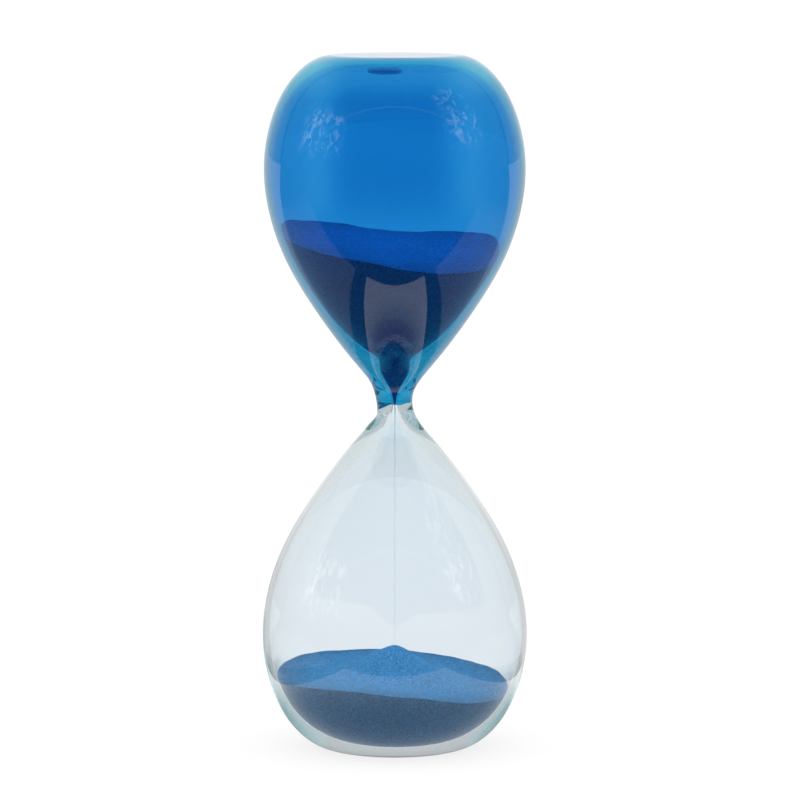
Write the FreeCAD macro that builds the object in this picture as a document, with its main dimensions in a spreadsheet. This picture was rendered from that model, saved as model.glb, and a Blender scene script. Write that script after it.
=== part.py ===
import FreeCAD, Part
import os
import Sketcher

# An all-glass hourglass that stands free on either flat end.
# Two blown bulbs are fused at a thick neck; the bore of the neck is the throat
# that meters the sand.  Frame: origin at the centre of the lower flat end,
# +Z up along the axis, +X towards the low side of the sand, millimetres.

DIMENSIONS = (
    # overall glass
    ("upper_length", 99.7),       # from the fused joint to the upper flat end
    ("lower_length", 100.3),      # from the lower flat end to the fused joint
    ("upper_radius", 37.5),
    ("lower_radius", 38.25),
    ("neck_radius", 5.05),
    ("neck_run", 4.5),            # how far the neck runs nearly straight
    ("wall", 1.6),                # glass at the widest part of a bulb
    ("cone_wall", 2.3),           # glass where a bulb narrows to the neck
    ("end_wall", 2.2),            # glass at a flat end
    # control points of a bulb's outline, as shares of its radius and length
    ("flare_out", 0.299),
    ("flare_up", 0.103),
    ("cone_out", 0.7025),
    ("cone_up", 0.3115),
    ("shoulder_out", 0.9325),
    ("shoulder_up", 0.476),
    ("belly_out", 1.0467),
    ("belly_up", 0.696),
    ("crown_out", 0.871),
    ("crown_up", 0.928),
    ("rim_out", 0.6045),
    ("flat_out", 0.489),
    # bore of the neck
    ("throat_radius", 0.6),
    ("throat_run", 2.0),
    ("funnel_radius", 1.7),
    ("funnel_run", 5.0),
    ("mouth_radius", 4.0),
    ("mouth_run", 10.0),
    ("bowl_radius", 8.6),
    ("bowl_run", 14.0),
    ("dish_radius", 14.5),
    ("dish_run", 19.0),
    # seal of the filling hole
    ("fill_radius", 1.9),
    ("fill_shift", 2.9),          # how far the hole stands off the axis, towards -X
    ("seal_gap", 0.05),
    ("seal_radius", 5.2),
    ("seal_drop", 1.6),           # how far the seal bulges into the bulb
    ("seal_recess", 0.2),
    # sand
    ("sand_gap", 0.3),            # between the sand and the glass
    ("throat_gap", 0.2),          # the same, inside the throat
    ("upper_sand_level", 146.0),
    ("upper_sand_slope", 0.098),
    ("upper_sand_lean", 6.3),     # degrees, high at +Y and low at -Y
    ("lower_sand_level", 20.4),
    ("lower_sand_slope", 0.066),
    ("lower_sand_lean", 1.2),
    ("skirt_radius", 21.0),       # the mound's foot, buried in the bed
    ("skirt_depth", 3.5),
    ("mound_height", 8.8),
    ("mound_crest", 4.0),         # half-width of the rounded peak
    ("stream_gap", 0.1),
    ("cut_reach", 60.0),          # half-size of the solid that trims the sand
)

NAMES = {alias for alias, _ in DIMENSIONS}
KIND = {"x": "DistanceX", "y": "DistanceY"}

doc = FreeCAD.newDocument("hourglass")
sheet = doc.addObject("Spreadsheet::Sheet", "Dimensions")
for row, (alias, number) in enumerate(DIMENSIONS, start=1):
    sheet.set("A%d" % row, alias)
    sheet.set("B%d" % row, "%g" % number)
    sheet.setAlias("B%d" % row, alias)
doc.recompute()


def cell(text):
    """Expression text with every dimension name pointed at the sheet."""
    return " ".join("Dimensions." + word if word in NAMES else word for word in text.split())


def worth(text):
    """Number an expression of dimension names stands for."""
    return float(sheet.evalExpression(cell(text)))


def origin_item(body, role):
    """One of a body's own origin planes or axes."""
    return [item for item in body.Origin.OriginFeatures if item.Role == role][0]


def new_body(name):
    body = doc.addObject("PartDesign::Body", name)
    body.Label = name
    return body


class Section:
    """A closed outline in a body's XZ plane, every point tied to the sheet."""

    def __init__(self, body, name):
        self.sketch = body.newObject("Sketcher::SketchObject", name)
        self.sketch.AttachmentSupport = [(origin_item(body, "XZ_Plane"), "")]
        self.sketch.MapMode = "FlatFace"
        self.sides = []

    def tie(self, axis, geometry, point, text):
        """Hold one coordinate of a point to an expression."""
        number = worth(text)
        if abs(number) < 1e-9:
            across = -2 if axis == "x" else -1
            self.sketch.addConstraint(
                Sketcher.Constraint("PointOnObject", geometry, point, across))
            return
        ends = [(-1, 1), (geometry, point)]
        if number < 0:
            ends.reverse()
            text = "0 - ( " + text + " )"
        index = self.sketch.addConstraint(
            Sketcher.Constraint(KIND[axis], *ends[0], *ends[1], abs(number)))
        self.sketch.setExpression("Constraints[%d]" % index, cell(text))

    def place(self, geometry, point, where):
        self.tie("x", geometry, point, where[0])
        self.tie("y", geometry, point, where[1])

    def curve(self, poles):
        """A smooth cubic curve steered by a row of control points."""
        points = [FreeCAD.Vector(worth(x), worth(y), 0) for x, y in poles]
        spline = Part.BSplineCurve(points, None, None, False, 3, None, False)
        curve = self.sketch.addGeometry(spline)
        marks = []
        for point in points:
            mark = Part.Circle(point, FreeCAD.Vector(0, 0, 1), 1.0)
            marks.append(self.sketch.addGeometry(mark, True))
        self.sketch.addConstraint(Sketcher.Constraint("Weight", marks[0], 1.0))
        for order, mark in enumerate(marks):
            if order:
                self.sketch.addConstraint(Sketcher.Constraint("Equal", marks[0], mark))
            self.sketch.addConstraint(Sketcher.Constraint(
                "InternalAlignment:Sketcher::BSplineControlPoint", mark, 3, curve, order))
        for mark, where in zip(marks, poles):
            self.place(mark, 3, where)
        self.sides.append((curve, poles[0], poles[-1], True))

    def run(self, *corners):
        """Straight sides through a row of corners."""
        for start, end in zip(corners, corners[1:]):
            points = [FreeCAD.Vector(worth(x), worth(y), 0) for x, y in (start, end)]
            side = self.sketch.addGeometry(Part.LineSegment(*points))
            self.sides.append((side, start, end, False))

    def close(self):
        """Join each side to the next and fix the corners no curve has fixed."""
        joined = zip(self.sides, self.sides[1:] + self.sides[:1])
        for (here, _, corner, curved), (after, _, _, next_curved) in joined:
            self.sketch.addConstraint(Sketcher.Constraint("Coincident", here, 2, after, 1))
            if not (curved or next_curved):
                self.place(here, 2, corner)
        return self.sketch


def turn(body, sketch, kind="PartDesign::Revolution"):
    """Turn a half-section once round the axis."""
    feature = body.newObject(kind, sketch.Name + "_turn")
    feature.Profile = sketch
    feature.ReferenceAxis = (origin_item(body, "Z_Axis"), [""])
    feature.Angle = 360.0
    doc.recompute()
    return feature


class Bulb:
    """Heights and radii of one bulb, measured from the fused joint outwards."""

    def __init__(self, side):
        self.radius = side + "_radius"
        self.length = side + "_length"
        self.away, self.back = ("+", "-") if side == "upper" else ("-", "+")

    def run(self, distance):
        """Height of a point some distance from the joint."""
        return "lower_length %s %s" % (self.away, distance)

    def share(self, part, *less):
        """Height at a share of the bulb's length, held back by some thicknesses."""
        text = "lower_length %s %s * %s" % (self.away, self.length, part)
        return text + "".join(" %s %s" % (self.back, name) for name in less)

    def out(self, part, *less):
        """Radius at a share of the bulb's radius, less some thicknesses."""
        return "%s * %s" % (self.radius, part) + "".join(" - " + name for name in less)

    def outside(self):
        """Control points of the outside of the glass, joint to flat end."""
        return [
            ("neck_radius", "lower_length"),
            ("neck_radius", self.run("neck_run")),
            (self.out("flare_out"), self.share("flare_up")),
            (self.out("cone_out"), self.share("cone_up")),
            (self.out("shoulder_out"), self.share("shoulder_up")),
            (self.out("belly_out"), self.share("belly_up")),
            (self.out("crown_out"), self.share("crown_up")),
            (self.out("rim_out"), self.share("1")),
            (self.out("flat_out"), self.share("1")),
        ]

    def inside(self, gap="0", throat_gap="0"):
        """Control points of the bore, joint to flat end; a gap shrinks it all round."""
        throat = "throat_radius - " + throat_gap
        return [
            (throat, "lower_length"),
            (throat, self.run("throat_run")),
            ("funnel_radius - " + gap, self.run("funnel_run")),
            ("mouth_radius - " + gap, self.run("mouth_run")),
            ("bowl_radius - " + gap, self.run("bowl_run")),
            ("dish_radius - " + gap, self.run("dish_run")),
            (self.out("cone_out", "cone_wall", gap), self.share("cone_up")),
            (self.out("shoulder_out", "wall", gap), self.share("shoulder_up")),
            (self.out("belly_out", "wall", gap), self.share("belly_up")),
            (self.out("crown_out", "wall", gap), self.share("crown_up", "wall", gap)),
            (self.out("rim_out", "wall", gap), self.share("1", "end_wall", gap)),
            (self.out("flat_out", "wall", gap), self.share("1", "end_wall", gap)),
        ]


def make_bulb(name, bulb):
    """Blown shell of revolution, closed at its flat end and open at the joint."""
    body = new_body(name)
    section = Section(body, name + "_section")
    outside = bulb.outside()
    inside = bulb.inside()
    section.curve(outside)
    section.run(outside[-1], ("0", outside[-1][1]), ("0", inside[-1][1]), inside[-1])
    section.curve(inside[::-1])
    section.run(inside[0], outside[0])
    turn(body, section.close())
    return body


def pierce(body):
    """Open the filling hole through the upper flat end."""
    sketch = body.newObject("Sketcher::SketchObject", "filling_hole")
    sketch.AttachmentSupport = [(origin_item(body, "XY_Plane"), "")]
    sketch.MapMode = "FlatFace"
    top = UPPER.share("1")
    sketch.AttachmentOffset = FreeCAD.Placement(
        FreeCAD.Vector(0, 0, worth(top)), FreeCAD.Rotation())
    sketch.setExpression("AttachmentOffset.Base.z", cell(top))
    centre = FreeCAD.Vector(-worth("fill_shift"), 0, 0)
    hole = sketch.addGeometry(Part.Circle(centre, FreeCAD.Vector(0, 0, 1), worth("fill_radius")))
    sketch.addConstraint(Sketcher.Constraint("PointOnObject", hole, 3, -1))
    shift = sketch.addConstraint(
        Sketcher.Constraint("DistanceX", hole, 3, -1, 1, worth("fill_shift")))
    sketch.setExpression("Constraints[%d]" % shift, cell("fill_shift"))
    size = sketch.addConstraint(Sketcher.Constraint("Radius", hole, worth("fill_radius")))
    sketch.setExpression("Constraints[%d]" % size, cell("fill_radius"))
    before = body.Shape.Volume
    pocket = body.newObject("PartDesign::Pocket", "filling_hole_cut")
    pocket.Profile = sketch
    pocket.Length = worth("end_wall") * 2
    pocket.setExpression("Length", cell("end_wall * 2"))
    doc.recompute()
    if not 0.0 < body.Shape.Volume < before:
        raise RuntimeError("the filling hole took nothing away")
    return body


def trim(body, name, level, slope, lean):
    """Take away everything above a sloping surface."""
    section = Section(body, name)
    sketch = section.sketch
    sketch.AttachmentOffset = FreeCAD.Placement(
        FreeCAD.Vector(0, worth(level), 0), FreeCAD.Rotation(FreeCAD.Vector(1, 0, 0), 1.0))
    sketch.setExpression("AttachmentOffset.Base.y", cell(level))
    sketch.setExpression("AttachmentOffset.Rotation.Angle", cell(lean))
    left = "0 - cut_reach"
    rise = "cut_reach * " + slope
    section.run((left, rise), ("cut_reach", "0 - " + rise), ("cut_reach", "cut_reach * 2"),
                (left, "cut_reach * 2"), (left, rise))
    section.close()
    before = body.Shape.Volume
    pocket = body.newObject("PartDesign::Pocket", name + "_cut")
    pocket.Profile = sketch
    pocket.Type = "ThroughAll"
    pocket.Midplane = True
    doc.recompute()
    if not 0.0 < body.Shape.Volume < before:
        raise RuntimeError(name + " did not trim the sand")


def make_upper_sand():
    body = new_body("upper_sand")
    section = Section(body, "upper_sand_section")
    bore = UPPER.inside("sand_gap", "throat_gap")
    section.curve(bore)
    section.run(bore[-1], ("0", bore[-1][1]), ("0", bore[0][1]), bore[0])
    turn(body, section.close())
    trim(body, "upper_sand_top", "upper_sand_level", "upper_sand_slope", "upper_sand_lean")
    return body


def make_lower_sand():
    body = new_body("lower_sand")
    section = Section(body, "lower_sand_section")
    bore = LOWER.inside("sand_gap", "throat_gap")
    section.curve(bore)
    section.run(bore[-1], ("0", bore[-1][1]), ("0", bore[0][1]), bore[0])
    turn(body, section.close())
    trim(body, "lower_sand_top", "lower_sand_level", "lower_sand_slope", "lower_sand_lean")
    mound = Section(body, "mound_section")
    foot = ("skirt_radius", "lower_sand_level - skirt_depth")
    flank = ("skirt_radius * 0.4 + mound_crest * 0.6",
             "lower_sand_level + mound_height * 0.45")
    brow = ("mound_crest", "lower_sand_level + mound_height")
    peak = ("0", "lower_sand_level + mound_height")
    mound.curve([foot, flank, brow, peak])
    mound.run(peak, ("0", foot[1]), foot)
    before = body.Shape.Volume
    turn(body, mound.close())
    if not body.Shape.Volume > before:
        raise RuntimeError("the mound did not add to the sand")
    return body


def make_stream():
    """Thread of falling sand, from the throat to the peak of the mound."""
    body = new_body("sand_stream")
    section = Section(body, "stream_section")
    radius = "throat_radius - throat_gap"
    foot = "lower_sand_level + mound_height + stream_gap"
    section.run((radius, "lower_length"), ("0", "lower_length"), ("0", foot), (radius, foot),
                (radius, "lower_length"))
    turn(body, section.close())
    return body


def make_seal():
    """Plug fused into the filling hole, with a lens-shaped bulge on the inside."""
    body = new_body("fill_seal")
    section = Section(body, "seal_section")
    stem = "fill_radius - seal_gap"
    face = UPPER.share("1", "seal_recess")
    under = UPPER.share("1", "end_wall", "seal_gap")
    drop = UPPER.share("1", "end_wall", "seal_gap", "seal_drop")
    section.run(("0", drop), ("0", face), (stem, face), (stem, under), ("seal_radius", under))
    section.curve([("seal_radius", under), ("seal_radius", under + " - seal_drop * 0.7"),
                   ("seal_radius * 0.55", drop), ("0", drop)])
    turn(body, section.close())
    body.Placement.Base = FreeCAD.Vector(-worth("fill_shift"), 0, 0)
    body.setExpression("Placement.Base.x", cell("0 - fill_shift"))
    return body


UPPER = Bulb("upper")
LOWER = Bulb("lower")

NODES = {
    "upper_bulb": pierce(make_bulb("upper_bulb", UPPER)),
    "lower_bulb": make_bulb("lower_bulb", LOWER),
    "fill_seal": make_seal(),
    "upper_sand": make_upper_sand(),
    "sand_stream": make_stream(),
    "lower_sand": make_lower_sand(),
}
doc.recompute()

for item in doc.Objects:
    if "Invalid" in item.State or "Error" in item.State:
        raise RuntimeError("%s is %s" % (item.Name, item.State))

os.makedirs("parts", exist_ok=True)
for name, body in NODES.items():
    shape = body.Shape
    if shape.isNull() or not shape.isValid() or len(shape.Solids) != 1:
        raise RuntimeError("%s has no single valid solid" % name)
    shape.exportStep("parts/%s.step" % name)
    box = shape.BoundBox
    print("%-12s volume %9.1f mm3  x %.2f..%.2f  z %.2f..%.2f" % (
        name, shape.Volume, box.XMin, box.XMax, box.ZMin, box.ZMax))
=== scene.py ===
import math

import bpy
import numpy as np
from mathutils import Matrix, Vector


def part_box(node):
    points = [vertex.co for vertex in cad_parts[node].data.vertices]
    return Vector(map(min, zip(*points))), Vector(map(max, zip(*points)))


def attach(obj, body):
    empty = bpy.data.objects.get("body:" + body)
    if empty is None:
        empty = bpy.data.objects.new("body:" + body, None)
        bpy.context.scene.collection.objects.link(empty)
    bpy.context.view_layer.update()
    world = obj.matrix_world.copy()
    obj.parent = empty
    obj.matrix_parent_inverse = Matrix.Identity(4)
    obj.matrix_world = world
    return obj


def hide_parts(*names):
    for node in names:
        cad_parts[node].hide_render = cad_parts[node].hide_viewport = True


bl_info = {
    "name": "Blown-glass hourglass",
    "version": (1, 0, 0),
    "blender": (4, 5, 0),
    "location": "View3D > Sidebar > Hourglass",
    "description": "Builds the glass, the sand and the table of an all-glass hourglass",
    "category": "Object",
}

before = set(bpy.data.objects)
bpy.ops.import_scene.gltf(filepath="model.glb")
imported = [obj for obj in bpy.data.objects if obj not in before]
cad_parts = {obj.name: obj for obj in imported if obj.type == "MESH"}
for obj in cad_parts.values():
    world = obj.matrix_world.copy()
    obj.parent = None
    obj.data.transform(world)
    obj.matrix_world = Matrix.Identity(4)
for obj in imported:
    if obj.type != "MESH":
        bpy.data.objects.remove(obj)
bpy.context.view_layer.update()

MM = 0.001
UPPER_LOW, UPPER_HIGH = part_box("upper_bulb")
LOWER_LOW, LOWER_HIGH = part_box("lower_bulb")
SEAL_LOW, SEAL_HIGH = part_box("fill_seal")
STREAM_LOW, STREAM_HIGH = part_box("sand_stream")
WELD = float(LOWER_HIGH[2])
RINGS = 150                     # points along one wall of a bulb
FINE_RINGS = 900                # the same, where sand is cut to the wall
TURNS = 240                     # points round the axis
END_RINGS = 16                  # points across a flat end
JOINT_RINGS = 7                 # points across the fused face
TIP = 1.0 * MM                  # radius of the smallest ring, inside which a fan closes
JOINT_GAP = 0.03 * MM           # keeps the two glass skins at the neck from meeting
THROAT_GAP = 0.2 * MM           # air between the sand and the bore of the throat
SEAL_GAP = 0.05 * MM            # air over the seal

# control points of a bulb's outline, joint first: share of its radius, share of its length
FLARE = (0.299, 0.103)
CONE = (0.7025, 0.3115)
SHOULDER = (0.9325, 0.476)
BELLY = (1.0467, 0.696)
CROWN = (0.871, 0.928)
RIM = (0.6045, 1.0)
FLAT = (0.489, 1.0)
NECK_LENGTH = 4.5 * MM
THROAT_LENGTH = 2.0 * MM
BELLY_TRIM = 0.99997            # the curve's belly comes a hair over its radius

# control points of the bore where it opens above the throat: radius and height in mm
BORE = ((1.7, 5.0), (4.0, 10.0), (8.6, 14.0), (14.5, 19.0))

# terms of the two sand surfaces, in mm, in the order that swell() takes them
UPPER_SWELL = (145.7, -3.6, 3.8, 1.5, 1.0, 0.3, 1.0)
LOWER_SWELL = (20.3, -2.2, 0.8, -0.9, 0.4, 0.2, 0.4)

GRAVITY = 9.81                  # metres per second squared
GRAINS = 460                    # in the falling thread
BOUNCES = 96                    # light runs far round inside the thick glass of the neck


def linear(code):
    """Linear RGB of an sRGB hex colour."""
    channels = np.array([int(code[i:i + 2], 16) for i in (1, 3, 5)]) / 255.0
    low = channels / 12.92
    high = ((channels + 0.055) / 1.055) ** 2.4
    return tuple(float(c) for c in np.where(channels <= 0.04045, low, high))


# ---------------------------------------------------------------- settings

def length_property(name, description, millimetres):
    return bpy.props.FloatProperty(
        name=name, description=description, default=millimetres * MM,
        unit="LENGTH", subtype="DISTANCE", precision=5)


def colour_property(name, description, code):
    return bpy.props.FloatVectorProperty(
        name=name, description=description, default=linear(code),
        subtype="COLOR", size=3, min=0.0, max=1.0)


class GlassSettings(bpy.types.PropertyGroup):
    wall: length_property("Wall", "Glass at the widest part of a bulb", 1.6)
    cone_wall: length_property("Cone wall", "Glass where a bulb narrows to the neck", 2.3)
    end_wall: length_property("End wall", "Glass at a flat end", 2.2)
    neck_radius: length_property("Neck radius", "Outside of the neck", 5.05)
    throat_radius: length_property("Throat radius", "Bore that meters the sand", 0.6)
    weld_sag: length_property("Weld sag", "How far the blue glass ran down on one side", 2.2)
    ripple: length_property("Ripple", "Unevenness of the inner wall left by blowing", 0.07)
    blue: colour_property("Blue skin", "Flashed skin outside the upper bulb", "#24A4D5")
    blue_core: colour_property("Blue bulb's core", "Glass under the blue skin", "#D6CCF6")
    seal: colour_property("Seal", "Glass melted into the filling hole", "#5C86BE")
    clear: colour_property("Clear glass", "Faint tint of the lower bulb", "#F1F5F8")


class SandSettings(bpy.types.PropertyGroup):
    gap: length_property("Gap", "Air between the sand and the glass", 0.3)
    grain: length_property("Grain", "Size of one grain", 0.3)
    mound: length_property("Mound", "Height of the mound over the bed", 8.9)
    colour: colour_property("Sand", "Dyed sand", "#3794D2")
    # painted light: the falling grains are coloured paler than the bed, for the bright backdrop
    # seen between them
    falling_painted_lighter: colour_property("Falling sand", "The same sand, paler with air between", "#8CC8F0")


class StageSettings(bpy.types.PropertyGroup):
    floor: colour_property("Table", "The paper's own colour, under its glow", "#606060")
    camera_side: length_property("Side", "Camera to the right of the axis", 1.5)
    camera_distance: length_property("Distance", "Camera to the axis", 1300.0)
    camera_height: length_property("Height", "Camera above the table", 254.0)
    pitch: bpy.props.FloatProperty(
        name="Tilt", description="How far the camera looks down",
        default=math.radians(6.72), unit="ROTATION", subtype="ANGLE")
    lens: bpy.props.FloatProperty(
        name="Lens", description="Focal length", default=204.5, unit="CAMERA")


# ---------------------------------------------------------------- shapes

def smooth_curve(poles, count):
    """Clamped cubic B-spline: every point is the mean of the control points, weighted by
    the cubic basis functions on evenly spaced knots."""
    poles = np.asarray(poles, float)
    total = len(poles)
    knots = np.concatenate([np.zeros(3), np.linspace(0.0, 1.0, total - 2), np.ones(3)])
    u = np.linspace(0.0, 1.0, count)[:, None]
    basis = ((knots[:-1] <= u) & (u < knots[1:])).astype(float)
    basis[-1, total - 1] = 1.0
    for degree in (1, 2, 3):
        span = knots[degree:] - knots[:-degree]
        safe = np.where(span > 0.0, span, 1.0)
        rise = np.where(span[:-1] > 0.0, (u - knots[:-degree - 1]) / safe[:-1], 0.0)
        fall = np.where(span[1:] > 0.0, (knots[degree + 1:] - u) / safe[1:], 0.0)
        basis = rise * basis[:, :-1] + fall * basis[:, 1:]
    return basis @ poles


def straight(start, end, count):
    """Evenly spaced points from one (radius, height) to another."""
    return np.linspace(start, end, count)


def join(*runs):
    """One row of points from several runs that share their ends."""
    return np.concatenate([runs[0]] + [run[1:] for run in runs[1:]])


class Bulb:
    """Outline of one bulb as (radius, height) rows, joint first."""

    def __init__(self, low, high, way, glass):
        self.radius = BELLY_TRIM * float(high[0] - low[0]) / 2.0
        self.length = float(high[2] - low[2])
        self.way = way
        self.glass = glass

    def outside(self, joint_gap=0.0):
        neck = self.glass.neck_radius
        body = [(share * self.radius, height * self.length)
                for share, height in (FLARE, CONE, SHOULDER, BELLY, CROWN, RIM, FLAT)]
        poles = [(neck, joint_gap), (neck, NECK_LENGTH)] + body
        return self.raised(smooth_curve(poles, RINGS))

    def inside(self, joint_gap=0.0, shrink=0.0, throat_shrink=0.0, count=RINGS):
        glass, radius, length = self.glass, self.radius, self.length
        wall = glass.wall + shrink
        end = length - glass.end_wall - shrink
        throat = glass.throat_radius - throat_shrink
        poles = [(throat, joint_gap), (throat, THROAT_LENGTH)]
        poles += [(across * MM - shrink, up * MM) for across, up in BORE]
        poles += [
            (CONE[0] * radius - glass.cone_wall - shrink, CONE[1] * length),
            (SHOULDER[0] * radius - wall, SHOULDER[1] * length),
            (BELLY[0] * radius - wall, BELLY[1] * length),
            (CROWN[0] * radius - wall, CROWN[1] * length - wall),
            (RIM[0] * radius - wall, end),
            (FLAT[0] * radius - wall, end),
        ]
        return self.raised(smooth_curve(poles, count))

    def raised(self, rows):
        """Distances from the joint turned into heights."""
        return np.stack([rows[:, 0], WELD + self.way * rows[:, 1]], axis=1)


def turned(rows, turns=TURNS):
    """(radius, height) rows swept round the axis: x = r sin a, y = -r cos a, z = height."""
    angle = np.linspace(0.0, 2.0 * np.pi, turns, endpoint=False)
    radius, height = rows[:, 0, None], rows[:, 1, None]
    return np.stack(np.broadcast_arrays(
        radius * np.sin(angle), -radius * np.cos(angle), height + 0.0 * angle), axis=-1)


def sag(points, amount):
    """Moves the neck's rings up or down with the side they are on, by the amount times a
    cosine bell round the left, fading over 7 mm from the joint."""
    x, y, z = points[..., 0], points[..., 1], points[..., 2]
    reach = np.hypot(x, y)
    side = np.arctan2(x, -y)
    bell = np.clip(np.cos(0.9 * (side + math.radians(75.0))), 0.0, 1.0) ** 3
    small = 0.12 * np.sin(3.0 * side + 0.6) + 0.06 * np.sin(7.0 * side)
    near = np.clip(1.0 - np.abs(z - WELD) / (7.0 * MM), 0.0, 1.0)
    fade = near * near * (3.0 - 2.0 * near)
    inward = np.clip(reach / (5.0 * MM), 0.0, 1.0)
    moved = points.copy()
    moved[..., 2] = z - amount * (bell + small) * fade * inward
    return moved


def rippled(points, amount, seed):
    """Pushes a wall in by a sum of slow waves round and along the axis, from nothing to
    twice the amount, dying away towards the neck and the flat ends."""
    x, y, z = points[..., 0], points[..., 1], points[..., 2]
    angle = np.arctan2(x, -y)
    reach = np.hypot(x, y)
    waves = (0.5 * np.sin(2.0 * angle + 31.0 * z + seed)
             + 0.3 * np.sin(3.0 * angle - 67.0 * z + 2.1 * seed)
             + 0.2 * np.sin(5.0 * angle + 120.0 * z + 3.7 * seed))
    wide = np.clip((reach - 12.0 * MM) / (16.0 * MM), 0.0, 1.0)
    factor = 1.0 + amount * (waves - 1.0) * wide / np.maximum(reach, 1.0 * MM)
    moved = points.copy()
    moved[..., 0] = x * factor
    moved[..., 1] = y * factor
    return moved


def mesh_from_grid(name, points, first=None, last=None):
    """A mesh over a grid of points that closes on itself round the axis.  first and last
    are tips that close the end rows with fans."""
    rows, turns, _ = points.shape
    index = np.arange(rows * turns).reshape(rows, turns)
    after = np.roll(index, -1, axis=1)
    quads = np.stack([index[:-1], after[:-1], after[1:], index[1:]], axis=-1).reshape(-1, 4)
    vertices = points.reshape(-1, 3)
    fans = []
    if first is not None:
        tip = np.full(turns, len(vertices))
        vertices = np.vstack([vertices, first])
        fans.append(np.stack([tip, after[0], index[0]], axis=-1))
    if last is not None:
        tip = np.full(turns, len(vertices))
        vertices = np.vstack([vertices, last])
        fans.append(np.stack([tip, index[-1], after[-1]], axis=-1))
    triangles = np.concatenate(fans)
    return new_mesh(name, vertices, quads, triangles)


def tint_and_painted_light(piece, colours):
    """Gives every point of a mesh its own colour."""
    attribute = piece.data.attributes.new("tint_and_painted_light", "FLOAT_COLOR", "POINT")
    opaque = np.ones((len(colours), 1))
    attribute.data.foreach_set("color", np.hstack([colours, opaque]).astype(np.float32).ravel())


def flashed(points, blue):
    """Colour of the skin: the blue to the power of a number that is 1 for the even skin. It is
    a third more in a strip 32 mm wide down the front and back of the bulb's belly, which is
    painted shade down the middle of the bulb. It is a seventh less in a narrow run on either
    side of it, which is a painted reflection of two pale upright panels, and three tenths
    less over the crown."""
    x, z = points[..., 0] / MM, points[..., 2] / MM
    rise = np.clip((z - 149.0) / 12.0, 0.0, 1.0)
    # painted shade: a strip down the middle of the bulb's front and back is darkened
    painted_shade_strip = 0.32 / (1.0 + (np.abs(x + 1.0) / 16.0) ** 8)
    # painted reflection: a narrow run on either side of the strip is lightened, standing for two
    # pale upright panels
    runs = 0.14 * np.exp(-((np.abs(x) - 22.5) / 4.5) ** 2)
    streaks = 0.02 * np.sin(1.7 * x + 3.0 * np.sin(0.13 * z)) * np.sin(0.4 * z + 0.3 * x)
    crown = 0.3 * np.clip((z - 188.0) / 7.0, 0.0, 1.0)
    power_with_painted_light = 1.0 + (painted_shade_strip - runs + streaks) * rise * (1.0 - crown) - crown
    return np.asarray(blue) ** power_with_painted_light[..., None]


def new_mesh(name, vertices, quads, triangles):
    """A mesh object with all its points at once and smooth faces."""
    mesh = bpy.data.meshes.new(name)
    corners = np.concatenate([quads.ravel(), triangles.ravel()]).astype(np.int32)
    sizes = np.concatenate([np.full(len(quads), 4), np.full(len(triangles), 3)])
    starts = (np.cumsum(sizes) - sizes).astype(np.int32)
    mesh.vertices.add(len(vertices))
    mesh.vertices.foreach_set("co", np.asarray(vertices, np.float32).ravel())
    mesh.loops.add(len(corners))
    mesh.loops.foreach_set("vertex_index", corners)
    mesh.polygons.add(len(sizes))
    mesh.polygons.foreach_set("loop_start", starts)
    mesh.update(calc_edges=True)
    mesh.validate()
    mesh.polygons.foreach_set("use_smooth", np.ones(len(sizes), bool))
    mesh.set_sharp_from_angle(angle=math.radians(50.0))
    piece = bpy.data.objects.new(name, mesh)
    bpy.context.scene.collection.objects.link(piece)
    return piece


# ---------------------------------------------------------------- materials

def node(tree, kind, settings=None, **inputs):
    """Adds a node, sets its properties and fills or links its inputs."""
    made = tree.nodes.new(kind)
    for key, value in (settings or {}).items():
        setattr(made, key, value)
    for key, value in inputs.items():
        socket = made.inputs[int(key[1:])] if key[1:].isdigit() else made.inputs[
            key.replace("_", " ")]
        if isinstance(value, bpy.types.NodeSocket):
            tree.links.new(value, socket)
        else:
            socket.default_value = value
    return made


def new_material(name):
    material = bpy.data.materials.new(name)
    material.use_nodes = True
    material.node_tree.nodes.clear()
    return material, material.node_tree


def absorbing(colour, depth):
    """Volume Absorption's colour and density that leave this colour of white light after
    a depth of glass: by Beer's law each channel loses -ln(colour) / depth."""
    loss = -np.log(np.clip(colour, 1e-4, 0.999)) / depth
    density = float(loss.max()) * 1.02
    return tuple(1.0 - loss / density) + (1.0,), density


def blown_glass(name, colour=None):
    """Soda-lime glass, blown and fire-polished: a dead smooth skin that mirrors the room
    at its edges.  With no colour of its own it takes the colour of its points, which on the
    blue bulb carries painted shade and a painted reflection: flashed glass has a thin
    coloured skin over nearly clear glass, so that the thick neck is no darker than the
    thin bulb."""
    material, tree = new_material(name)
    # a little iron: one centimetre of glass takes a tenth of the red
    tint, density = absorbing((0.9, 0.962, 0.966), 10.0 * MM)
    position = node(tree, "ShaderNodeTexCoord").outputs["Object"]
    # slow waves about 14 mm long and some ten microns high, from the blowing
    waves = node(tree, "ShaderNodeTexNoise", Vector=position, Scale=70.0, Detail=1.0)
    skin = node(tree, "ShaderNodeBump", Height=waves.outputs["Fac"], Strength=0.25,
                Distance=0.05 * MM)
    if colour is None:
        # the points' colour on the blue bulb carries painted shade and a painted reflection
        colour = node(tree, "ShaderNodeAttribute", {"attribute_name": "tint_and_painted_light"}).outputs["Color"]
    else:
        colour = colour + (1.0,)
    body = node(tree, "ShaderNodeBsdfPrincipled", Base_Color=colour, Roughness=0.0, IOR=1.5,
                Transmission_Weight=1.0, Normal=skin.outputs["Normal"])
    depths = node(tree, "ShaderNodeVolumeAbsorption", Color=tint, Density=density)
    node(tree, "ShaderNodeOutputMaterial", Surface=body.outputs[0], Volume=depths.outputs[0])
    return material


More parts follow.
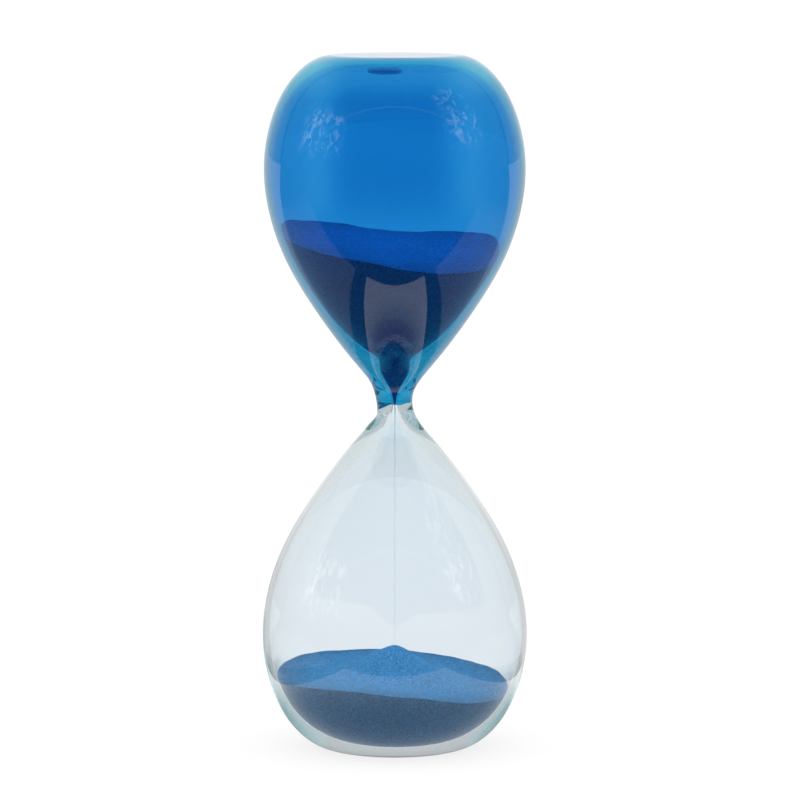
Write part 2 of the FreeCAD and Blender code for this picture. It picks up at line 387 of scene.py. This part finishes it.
def dyed_sand(name, colour, grain):
    """Dry quartz sand dyed with pigment: dull, with each grain a little lighter or darker
    than the next and a rough, unpolished surface."""
    material, tree = new_material(name)
    position = node(tree, "ShaderNodeTexCoord").outputs["Object"]
    cells = node(tree, "ShaderNodeTexVoronoi", Vector=position, Scale=1.0 / grain)
    tone = node(tree, "ShaderNodeSeparateColor", Color=cells.outputs["Color"])
    drift = node(tree, "ShaderNodeTexNoise", Vector=position, Scale=90.0, Detail=3.0)
    dark = tuple(0.58 * c for c in colour) + (1.0,)
    light = tuple(min(1.0, 1.36 * c + 0.012) for c in colour) + (1.0,)
    grains = node(tree, "ShaderNodeMix", {"data_type": "RGBA"}, _0=tone.outputs[0],
                  _6=dark, _7=light)
    patches = node(tree, "ShaderNodeMapRange", Value=drift.outputs["Fac"],
                   To_Min=0.9, To_Max=1.1)
    mixed = node(tree, "ShaderNodeVectorMath", {"operation": "SCALE"},
                 _0=grains.outputs[2], _3=patches.outputs[0])
    relief = node(tree, "ShaderNodeBump", Height=cells.outputs["Distance"], Strength=0.6,
                  Distance=grain)
    body = node(tree, "ShaderNodeBsdfPrincipled", Base_Color=mixed.outputs[0],
                Roughness=0.85, IOR=1.2, Normal=relief.outputs["Normal"])
    node(tree, "ShaderNodeOutputMaterial", Surface=body.outputs[0])
    return material


def finish(piece, cad_node, material):
    """Common last steps of a piece: material, body, the CAD node it stands for, slot."""
    piece.data.materials.append(material)
    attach(piece, "root")
    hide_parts(cad_node)


# ---------------------------------------------------------------- sand beds

def bed(bulb, surface, sand):
    """A bed of sand: its side follows the bore, a gap inside, up to where the height
    surface(x, y) meets it, and its top is that surface, closing over to the axis."""
    rows = 110
    angle = np.linspace(0.0, 2.0 * np.pi, TURNS, endpoint=False)
    east, north = np.sin(angle), -np.cos(angle)
    wall = bulb.inside(shrink=sand.gap, throat_shrink=THROAT_GAP, count=FINE_RINGS)
    wall = wall[::int(bulb.way)]
    u = np.linspace(0.0, 1.0, len(wall))
    level = surface(wall[:, :1] * east, wall[:, :1] * north)
    first = np.argmax(wall[:, 1:] > level, axis=0)
    column = np.arange(TURNS)
    over = wall[first, 1] - level[first, column]
    under = level[first - 1, column] - wall[first - 1, 1]
    meet = u[first - 1] + (u[first] - u[first - 1]) * under / np.maximum(over + under, 1e-12)
    share = np.linspace(0.0, 1.0, rows)[:, None] * meet
    side_r, side_z = np.interp(share, u, wall[:, 0]), np.interp(share, u, wall[:, 1])
    top_r = side_r[-1] * (1.0 - np.linspace(0.0, 1.0, rows + 1)[1:-1, None])
    top_z = surface(top_r * east, top_r * north)
    radius = np.concatenate([side_r, top_r])
    height = np.concatenate([side_z, top_z])
    points = np.stack([radius * east, radius * north, height], axis=-1)
    return points, (0.0, 0.0, float(wall[0, 1])), (0.0, 0.0, float(surface(0.0, 0.0)))


def swell(x, y, terms):
    """Height of a settled surface: a level, a slope along x and along y, and the second
    and third harmonics of the angle, each as a height at 33 mm from the axis."""
    turn = (x + 1j * y) / (33.0 * MM)
    waves = (1.0 + 0.0 * turn.real, turn.real, turn.imag, (turn ** 2).real, (turn ** 2).imag,
             (turn ** 3).real, (turn ** 3).imag)
    return MM * sum(height * wave for height, wave in zip(terms, waves))


def dunes(x, y, seed):
    """Slow uneven relief of poured sand: four crossing sine waves, up to 0.4 mm high."""
    return MM * (0.16 * np.sin(190.0 * x + 120.0 * y + seed)
                 + 0.12 * np.sin(-140.0 * x + 260.0 * y + 2.0 * seed)
                 + 0.07 * np.sin(430.0 * x + 390.0 * y + 3.0 * seed)
                 + 0.05 * np.sin(700.0 * x - 610.0 * y + 5.0 * seed))


# ---------------------------------------------------------------- operators

class HOURGLASS_OT_upper_bulb(bpy.types.Operator):
    """Blow the blue upper bulb, with its closed crown and its uneven fused edge"""
    bl_idname = "hourglass.upper_bulb"
    bl_label = "Upper bulb"

    def execute(self, context):
        glass = context.scene.hourglass_glass
        bulb = Bulb(UPPER_LOW, UPPER_HIGH, 1.0, glass)
        outside = bulb.outside()
        inside = bulb.inside()[::-1]
        profile = join(
            straight((TIP, inside[0, 1]), inside[0], END_RINGS),
            inside,
            straight(inside[-1], outside[0], JOINT_RINGS),
            outside,
            straight(outside[-1], (TIP, outside[-1, 1]), END_RINGS),
        )
        points = turned(profile)
        within = len(inside) + END_RINGS - 1
        points[:within] = rippled(points[:within], glass.ripple, 0.4)
        piece = mesh_from_grid("blue_bulb", sag(points, glass.weld_sag),
                               first=(0.0, 0.0, inside[0, 1]), last=(0.0, 0.0, outside[-1, 1]))
        colours = np.tile(np.asarray(glass.blue_core), (len(piece.data.vertices), 1))
        # the outer skin's colour, with painted shade down the middle and painted reflections on
        # either side
        colours[within * TURNS:-2] = flashed(points[within:].reshape(-1, 3), glass.blue)
        colours[-1] = glass.blue
        tint_and_painted_light(piece, colours)
        finish(piece, "upper_bulb", blown_glass(
            "Blue-flashed blown soda-lime glass"))
        return {"FINISHED"}


class HOURGLASS_OT_lower_bulb(bpy.types.Operator):
    """Blow the clear lower bulb up to the fused edge"""
    bl_idname = "hourglass.lower_bulb"
    bl_label = "Lower bulb"

    def execute(self, context):
        glass = context.scene.hourglass_glass
        bulb = Bulb(LOWER_LOW, LOWER_HIGH, -1.0, glass)
        outside = bulb.outside(joint_gap=JOINT_GAP)[::-1]
        inside = bulb.inside(joint_gap=JOINT_GAP)
        profile = join(
            straight((TIP, outside[0, 1]), outside[0], END_RINGS),
            outside,
            straight(outside[-1], inside[0], JOINT_RINGS),
            inside,
            straight(inside[-1], (TIP, inside[-1, 1]), END_RINGS),
        )
        points = turned(profile)
        within = len(inside) + END_RINGS - 1
        points[-within:] = rippled(points[-within:], glass.ripple, 2.3)
        piece = mesh_from_grid("clear_bulb", sag(points, glass.weld_sag),
                               first=(0.0, 0.0, outside[0, 1]), last=(0.0, 0.0, inside[-1, 1]))
        finish(piece, "lower_bulb", blown_glass(
            "Blown clear soda-lime glass", tuple(glass.clear)))
        return {"FINISHED"}


class HOURGLASS_OT_seal(bpy.types.Operator):
    """Melt the seal into the filling hole of the upper end"""
    bl_idname = "hourglass.seal"
    bl_label = "Seal"

    def execute(self, context):
        glass = context.scene.hourglass_glass
        wide = float(SEAL_HIGH[0] - SEAL_LOW[0]) / 2.0
        middle = float(SEAL_HIGH[0] + SEAL_LOW[0]) / 2.0
        under = float(UPPER_HIGH[2]) - glass.end_wall - SEAL_GAP
        drop = float(SEAL_LOW[2])
        profile = join(
            smooth_curve([(0.3 * MM, drop), (0.5 * wide, drop), (wide, drop + 0.5 * MM),
                          (wide, under), (0.85 * wide, under)], 24),
            straight((0.85 * wide, under), (0.3 * MM, under), 6))
        points = turned(profile, 96) + (middle, 0.0, 0.0)
        piece = mesh_from_grid("melted_seal", points,
                               first=(middle, 0.0, drop), last=(middle, 0.0, under))
        finish(piece, "fill_seal", blown_glass(
            "Flame-melted soda-lime glass", tuple(glass.seal)))
        return {"FINISHED"}


class HOURGLASS_OT_sand_beds(bpy.types.Operator):
    """Lay the sand in both bulbs, with the mound under the falling thread"""
    bl_idname = "hourglass.sand_beds"
    bl_label = "Sand beds"

    def execute(self, context):
        glass, sand = context.scene.hourglass_glass, context.scene.hourglass_sand
        material = dyed_sand("Dyed quartz sand", tuple(sand.colour), sand.grain)

        def upper_top(x, y):
            """Settled sand with a shallow dip over the throat."""
            dip = 1.0 * MM * np.exp(-(np.hypot(x, y) / (11.0 * MM)) ** 2)
            return swell(x, y, UPPER_SWELL) + dunes(x, y, 1.0) - dip

        def lower_top(x, y):
            """Settled sand and a mound: a cone whose height falls off at the slope of
            repose, rounded at the peak and at the foot."""
            peak, foot, slope = 2.2 * MM, 0.6 * MM, 0.62
            fall = np.sqrt(np.hypot(x, y) ** 2 + peak ** 2) - peak
            cone = sand.mound - slope * fall
            return (swell(x, y, LOWER_SWELL) + dunes(x, y, 4.0)
                    + foot * np.logaddexp(0.0, cone / foot))

        upper = Bulb(UPPER_LOW, UPPER_HIGH, 1.0, glass)
        lower = Bulb(LOWER_LOW, LOWER_HIGH, -1.0, glass)
        for name, bulb, top in (("upper_sand", upper, upper_top),
                                ("lower_sand", lower, lower_top)):
            points, foot, peak = bed(bulb, top, sand)
            piece = mesh_from_grid(name + "_bed", points, first=foot, last=peak)
            finish(piece, name, material)
        return {"FINISHED"}


class HOURGLASS_OT_falling_sand(bpy.types.Operator):
    """Drop the thread of single grains from the throat to the mound"""
    bl_idname = "hourglass.falling_sand"
    bl_label = "Falling sand"

    def execute(self, context):
        sand = context.scene.hourglass_sand
        random = np.random.default_rng(7)
        top, foot = float(STREAM_HIGH[2]), float(STREAM_LOW[2])
        # evenly spaced in time, so falling bodies thin out as they gain speed:
        # fallen = speed * time + gravity * time ** 2 / 2
        drop = top - foot
        speed = 0.12
        whole = (-speed + math.sqrt(speed ** 2 + 2.0 * GRAVITY * drop)) / GRAVITY
        when = np.linspace(0.0, whole, GRAINS)
        fallen = speed * when + 0.5 * GRAVITY * when ** 2
        margin = 0.2 * MM
        height = top - margin - fallen * ((drop - 2.0 * margin) / drop)
        spread, limit = 0.11 * MM, 0.26 * MM
        centre = np.stack([random.normal(0.0, spread, GRAINS),
                           random.normal(0.0, spread, GRAINS), height], axis=-1)
        centre[:, :2] = np.clip(centre[:, :2], -limit, limit)
        # a grain is an octahedron with its corners pushed about
        corners = np.array([(1, 0, 0), (0, 1, 0), (-1, 0, 0), (0, -1, 0), (0, 0, 1), (0, 0, -1)],
                           float)
        sides = np.array([(0, 1, 4), (1, 2, 4), (2, 3, 4), (3, 0, 4),
                          (1, 0, 5), (2, 1, 5), (3, 2, 5), (0, 3, 5)])
        stretch = random.uniform(0.7, 1.3, (GRAINS, 6, 1))
        size = 0.25 * sand.grain * random.uniform(0.8, 1.2, (GRAINS, 1, 1))
        vertices = (centre[:, None] + corners * stretch * size).reshape(-1, 3)
        triangles = (sides[None] + 6 * np.arange(GRAINS)[:, None, None]).reshape(-1, 3)
        piece = new_mesh("falling_grains", vertices, np.zeros((0, 4), int), triangles)
        # painted light: a paler copy of the sand's material, for the bright backdrop seen
        # between the falling grains
        finish(piece, "sand_stream", dyed_sand(
            "Dyed quartz sand, falling, painted lighter", tuple(sand.falling_painted_lighter), sand.grain))
        return {"FINISHED"}


class HOURGLASS_OT_stage(bpy.types.Operator):
    """Set the white table, the light tent and the camera"""
    bl_idname = "hourglass.stage"
    bl_label = "Table, light and camera"

    def steps(self, tree, value, stops):
        """A row of straight steps: the number that belongs to each place from 0 to 1."""
        ramp = node(tree, "ShaderNodeValToRGB", Fac=value)
        first, last = ramp.color_ramp.elements
        for element, (place, level) in zip((first, last), (stops[0], stops[-1])):
            element.position = place
            element.color = (level, level, level, 1.0)
        for place, level in stops[1:-1]:
            ramp.color_ramp.elements.new(place).color = (level, level, level, 1.0)
        return ramp.outputs["Color"]

    def rise(self, tree, value, start, end, low=0.0, high=1.0):
        """A smooth step from low to high while the value goes from start to end."""
        return node(tree, "ShaderNodeMapRange", {"interpolation_type": "SMOOTHSTEP"},
                    Value=value, From_Min=start, From_Max=end, To_Min=low,
                    To_Max=high).outputs[0]

    def maths(self, tree, operation, *values):
        """One arithmetic step."""
        inputs = {"_%d" % place: value for place, value in enumerate(values)}
        return node(tree, "ShaderNodeMath", {"operation": operation}, **inputs).outputs[0]

    def choose(self, tree, share, low, high):
        """Low where the share is 0, high where it is 1."""
        return node(tree, "ShaderNodeMix", {"data_type": "FLOAT"}, _0=share, _2=low,
                    _3=high).outputs[0]

    def sorted_light(self, tree, seen, lamp, mirrored, bent=None):
        """Strength of a surface for light that the eye gets straight or through two walls
        of glass, for light on matt things, for light by way of a gloss, and for light bent
        by solid glass."""
        path = node(tree, "ShaderNodeLightPath").outputs
        matt = self.maths(tree, "GREATER_THAN", path["Diffuse Depth"], 0.5)
        through = self.maths(tree, "GREATER_THAN", path["Transmission Depth"], 2.5)
        straight_on = self.maths(tree, "MAXIMUM", path["Is Camera Ray"], through)
        if bent is not None:
            mirrored = self.choose(tree, path["Is Transmission Ray"], mirrored, bent)
        bright = self.choose(tree, straight_on, mirrored, seen)
        return self.choose(tree, matt, bright, lamp)

    def table(self, floor):
        """A white table: to the eye plain white paper, and to gloss a lit sheet under and
        behind the glass, with a dark gap and then a dimmer board on both sides."""
        reach = np.linspace(0.0, 1.0, 24)[1:] ** 2 * 12.0
        rows = np.stack([reach, np.zeros_like(reach)], axis=1)
        piece = mesh_from_grid("white_table", turned(rows, 96)[::-1], last=(0.0, 0.0, 0.0))
        material, tree = new_material("White studio paper on a light box")
        place = node(tree, "ShaderNodeTexCoord").outputs["Object"]
        parts = node(tree, "ShaderNodeSeparateXYZ", Vector=place)
        aside = self.maths(tree, "ABSOLUTE", self.maths(tree, "SUBTRACT", parts.outputs["X"],
                                                        2.0 * MM))
        north = parts.outputs["Y"]
        apart = node(tree, "ShaderNodeVectorMath", {"operation": "LENGTH"},
                     _0=place).outputs["Value"]
        dark, board, faded, lit = 0.05, 0.4, 0.06, 0.75
        # the glass keeps the light off the sheet right round its foot
        level = self.rise(tree, apart, 0.04, 0.085, 0.3, 1.35)
        # the sheet ends 74 mm to each side, the board begins at 108 mm
        level = self.choose(tree, self.rise(tree, aside, 0.0735, 0.0745), level, dark)
        level = self.choose(tree, self.rise(tree, aside, 0.106, 0.109), level, board)
        # the table's front edge, and the board fading away with distance
        level = self.choose(tree, self.rise(tree, north, -0.099, -0.095), dark, level)
        level = self.choose(tree, self.rise(tree, apart, 0.2, 0.8), level, faded)
        # the lit back, in a wedge that opens behind the glass
        behind = self.maths(tree, "SUBTRACT", north, self.maths(tree, "MULTIPLY", aside, 0.55))
        level = self.choose(tree, self.rise(tree, behind, 0.02, 0.07), level, lit)
        # matt things get less light from the front of the table than from the back
        lamp = self.choose(tree, self.rise(tree, north, -0.12, 0.1), 0.22, 0.95)
        strength = self.sorted_light(tree, 0.84, lamp, level, 0.65)
        colour = node(tree, "ShaderNodeBsdfDiffuse", Color=floor + (1.0,))
        glow = node(tree, "ShaderNodeEmission", Color=(1, 1, 1, 1), Strength=strength)
        black = node(tree, "ShaderNodeBsdfDiffuse", Color=(0, 0, 0, 1))
        paper = node(tree, "ShaderNodeMixShader", _0=self.sorted_light(tree, 1.0, 0.0, 0.0),
                     _1=black.outputs[0], _2=colour.outputs[0])
        both = node(tree, "ShaderNodeAddShader", _0=paper.outputs[0], _1=glow.outputs[0])
        node(tree, "ShaderNodeOutputMaterial", Surface=both.outputs[0])
        piece.data.materials.append(material)

    def patch(self, tree, around, height, middle, wide, high):
        """1 round the middle (azimuth, height) of a patch of the tent, and 0 far from it,
        with a smooth step between each pair of distances."""
        across = self.maths(tree, "ABSOLUTE", self.maths(tree, "SUBTRACT", around, middle[0]))
        up = self.maths(tree, "ABSOLUTE", self.maths(tree, "SUBTRACT", height, middle[1]))
        return self.maths(tree, "MULTIPLY", self.rise(tree, across, *wide, 1.0, 0.0),
                          self.rise(tree, up, *high, 1.0, 0.0))

    def tent(self, context):
        """A light tent: white to the eye, a bright roof and back for matt things, and for
        gloss a dark room in front with the tent's pale back beyond a thin black edge."""
        world = bpy.data.worlds.new("Light tent")
        context.scene.world = world
        world.use_nodes = True
        tree = world.node_tree
        tree.nodes.clear()
        direction = node(tree, "ShaderNodeTexCoord").outputs["Generated"]
        parts = node(tree, "ShaderNodeSeparateXYZ", Vector=direction)
        east, north, height = (parts.outputs[axis] for axis in "XYZ")
        front = self.maths(tree, "MULTIPLY", north, -1.0)
        roof = self.rise(tree, height, 0.1, 0.8)
        back = self.rise(tree, north, 0.3, 0.6)
        lamp = self.choose(tree, self.maths(tree, "MAXIMUM", roof,
                                            self.maths(tree, "MULTIPLY", back, 0.4)), 0.28, 2.4)
        # what gloss mirrors, by the angle from straight in front, 0 to 1 for 0 to 180 degrees
        turn = self.maths(tree, "DIVIDE", self.maths(tree, "ARCCOSINE", front), math.pi)
        room = self.steps(tree, turn, (
            (0.0, 0.05), (0.5, 0.05), (0.6, 0.1), (0.648, 0.13), (0.653, 0.0), (0.668, 0.0),
            (0.673, 0.2), (0.722, 0.26), (0.778, 0.5), (0.842, 0.67), (0.889, 0.78),
            (1.0, 1.0)))
        # the front bar of the tent's roof, a straight line from left to right 47 degrees up
        lift = self.maths(tree, "ARCTAN2", height, front)
        bar = self.maths(tree, "MULTIPLY", self.maths(tree, "COMPARE", lift, 0.82, 0.012), 0.4)
        # creased cloth at both sides: noise within two patches of azimuth and height
        around = self.maths(tree, "ARCTAN2", east, front)
        left = self.patch(tree, around, height, (-1.26, 0.36), (0.25, 0.5), (0.1, 0.3))
        right = self.patch(tree, around, height, (1.22, 0.52), (0.2, 0.42), (0.15, 0.36))
        creases = node(tree, "ShaderNodeTexNoise", Vector=direction, Scale=9.0, Detail=5.0,
                       Roughness=0.62, Distortion=1.2)
        cloth = self.maths(tree, "MULTIPLY", self.maths(tree, "ADD", left, right),
                           self.rise(tree, creases.outputs["Fac"], 0.48, 0.66, 0.05, 2.2))
        gloss = self.maths(tree, "ADD", room, self.maths(tree, "ADD", cloth, bar))
        # light bent by solid glass never comes from a darker place than two thirds of white
        above = self.maths(tree, "MAXIMUM", room, self.rise(tree, height, 0.0, 0.3, 0.65, 0.9))
        strength = self.sorted_light(tree, 1.0, lamp, gloss, above)
        light = node(tree, "ShaderNodeBackground", Color=(1, 1, 1, 1), Strength=strength)
        node(tree, "ShaderNodeOutputWorld", Surface=light.outputs[0])

    def execute(self, context):
        stage = context.scene.hourglass_stage
        self.table(tuple(stage.floor))
        self.tent(context)
        lens = bpy.data.cameras.new("Camera")
        lens.lens = stage.lens
        lens.sensor_width = 36.0
        lens.clip_start = 0.01
        lens.clip_end = 100.0
        camera = bpy.data.objects.new("Camera", lens)
        camera.location = (stage.camera_side, -stage.camera_distance, stage.camera_height)
        camera.rotation_euler = (math.pi / 2.0 - stage.pitch, 0.0, 0.0)
        context.scene.collection.objects.link(camera)
        context.scene.camera = camera
        context.scene.view_settings.view_transform = "Standard"
        context.scene.cycles.max_bounces = BOUNCES
        context.scene.cycles.transmission_bounces = BOUNCES
        context.scene.cycles.glossy_bounces = BOUNCES
        return {"FINISHED"}


class HOURGLASS_PT_panel(bpy.types.Panel):
    """Lists the hourglass's pieces in the sidebar"""
    bl_idname = "HOURGLASS_PT_panel"
    bl_label = "Hourglass"
    bl_space_type = "VIEW_3D"
    bl_region_type = "UI"
    bl_category = "Hourglass"

    def draw(self, context):
        for operator in OPERATORS:
            self.layout.operator(operator.bl_idname)


SETTINGS = {
    "hourglass_glass": GlassSettings,
    "hourglass_sand": SandSettings,
    "hourglass_stage": StageSettings,
}
OPERATORS = (
    HOURGLASS_OT_upper_bulb,
    HOURGLASS_OT_lower_bulb,
    HOURGLASS_OT_seal,
    HOURGLASS_OT_sand_beds,
    HOURGLASS_OT_falling_sand,
    HOURGLASS_OT_stage,
)
CLASSES = tuple(SETTINGS.values()) + OPERATORS + (HOURGLASS_PT_panel,)


def register():
    for item in CLASSES:
        bpy.utils.register_class(item)
    for name, settings in SETTINGS.items():
        setattr(bpy.types.Scene, name, bpy.props.PointerProperty(type=settings))


def unregister():
    for name in SETTINGS:
        delattr(bpy.types.Scene, name)
    for item in reversed(CLASSES):
        bpy.utils.unregister_class(item)


def main():
    register()
    for operator in OPERATORS:
        group, name = operator.bl_idname.split(".")
        getattr(getattr(bpy.ops, group), name)()


if __name__ == "__main__":
    main()
